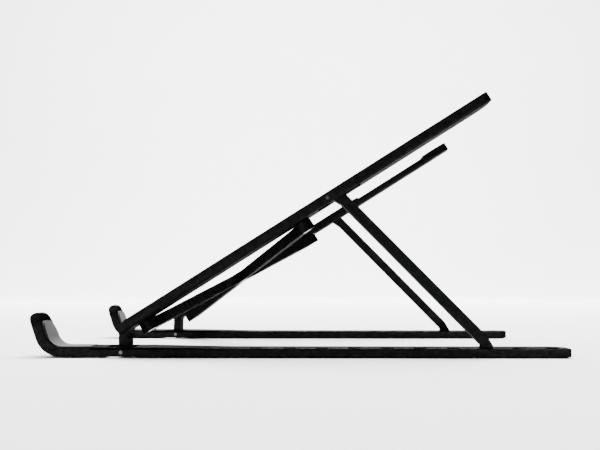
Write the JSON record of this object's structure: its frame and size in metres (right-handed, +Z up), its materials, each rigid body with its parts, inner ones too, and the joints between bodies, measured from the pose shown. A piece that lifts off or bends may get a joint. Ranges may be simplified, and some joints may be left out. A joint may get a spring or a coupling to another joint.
{
  "type": "folding laptop stand",
  "caption": "Folding laptop stand with hooked base rails, tilting arms on notched struts, and crossed bars that fold it narrow.",
  "frame": {"origin": "bottom centre of the stand's box as it stands open on a table: midway between the rails, midway along them, on the table", "axes": "+X along the base rails from the hooks to the back, +Z up, +Y across the stand from the right side to the left side"},
  "size_m": [0.2514, 0.186, 0.1241],
  "materials": {
    "black_metal": "black anodised, fine bead-blasted satin",
    "grey_silicone": "matt grey silicone",
    "black_rubber": "matt black rubber",
    "steel": "bright pin and rivet ends",
    "nylon": "black nylon"
  },
  "bodies": {
    "right_base": {"right_rail": "black_metal", "right_hook_pad": "grey_silicone", "right_front_foot": "black_rubber", "right_rear_foot": "black_rubber", "right_base_pin": "steel"},
    "right_arm": {"right_arm": "black_metal", "right_lower_pad": "grey_silicone", "right_upper_pad": "grey_silicone", "right_tip_pad": "grey_silicone", "right_strut_pin": "steel", "right_bar_rivet": "steel"},
    "right_strut": {"right_strut": "black_metal"},
    "bar_a": {"bar_a": "black_metal", "centre_rivet": "steel", "left_slider_pin": "steel"},
    "bar_b": {"bar_b": "black_metal", "right_slider_pin": "steel"},
    "right_slider": {"right_slider": "nylon"},
    "left_slider": {"left_slider": "nylon"},
    "left_base": {"left_rail": "black_metal", "left_hook_pad": "grey_silicone", "left_front_foot": "black_rubber", "left_rear_foot": "black_rubber", "left_base_pin": "steel"},
    "left_arm": {"left_arm": "black_metal", "left_lower_pad": "grey_silicone", "left_upper_pad": "grey_silicone", "left_tip_pad": "grey_silicone", "left_strut_pin": "steel", "left_bar_rivet": "steel"},
    "left_strut": {"left_strut": "black_metal"}
  },
  "joints": [
    {"name": "arm_tilt", "type": "hinge", "parent": "right_base", "child": "right_arm", "pos_m": [-0.0826, -0.082, 0.0026], "axis": [0, -1, 0], "range_deg": [0, 57.8]},
    {"name": "right_strut_swing", "type": "hinge", "parent": "right_arm", "child": "right_strut", "pos_m": [0.0136, -0.0852, 0.07429], "axis": [0, -1, 0], "range_deg": [0, 28]},
    {"name": "width_fold", "type": "hinge", "parent": "right_arm", "child": "bar_a", "pos_m": [-0.07225, -0.0754, 0.0145], "axis": [0.5329, 0, -0.8462], "range_deg": [0, 51]},
    {"name": "bar_b_turn", "type": "hinge", "parent": "bar_a", "child": "bar_b", "pos_m": [-0.03485, 0, 0.03805], "axis": [0.5329, 0, -0.8462], "range_deg": [-102, 0]},
    {"name": "right_slider_turn", "type": "hinge", "parent": "bar_b", "child": "right_slider", "pos_m": [0.00256, -0.0754, 0.0616], "axis": [0.5329, 0, -0.8462], "range_deg": [0, 51]},
    {"name": "left_slider_turn", "type": "hinge", "parent": "bar_a", "child": "left_slider", "pos_m": [0.00256, 0.0754, 0.0616], "axis": [0.5329, 0, -0.8462], "range_deg": [-51, 0]},
    {"name": "left_arm_turn", "type": "hinge", "parent": "bar_b", "child": "left_arm", "pos_m": [-0.07225, 0.0754, 0.0145], "axis": [0.5329, 0, -0.8462], "range_deg": [0, 51]},
    {"name": "left_strut_swing", "type": "hinge", "parent": "left_arm", "child": "left_strut", "pos_m": [0.0136, 0.0852, 0.07429], "axis": [0, -1, 0], "range_deg": [0, 28]},
    {"name": "left_base_tilt", "type": "hinge", "parent": "left_arm", "child": "left_base", "pos_m": [-0.0826, 0.082, 0.0026], "axis": [0, -1, 0], "range_deg": [-57.8, 0]}
  ],
  "couplings": [
    {"joint": "bar_b_turn", "follows": "width_fold", "ratio": -2},
    {"joint": "right_slider_turn", "follows": "width_fold", "ratio": 1},
    {"joint": "left_slider_turn", "follows": "width_fold", "ratio": -1},
    {"joint": "left_arm_turn", "follows": "width_fold", "ratio": 1},
    {"joint": "left_base_tilt", "follows": "arm_tilt", "ratio": -1}
  ]
}
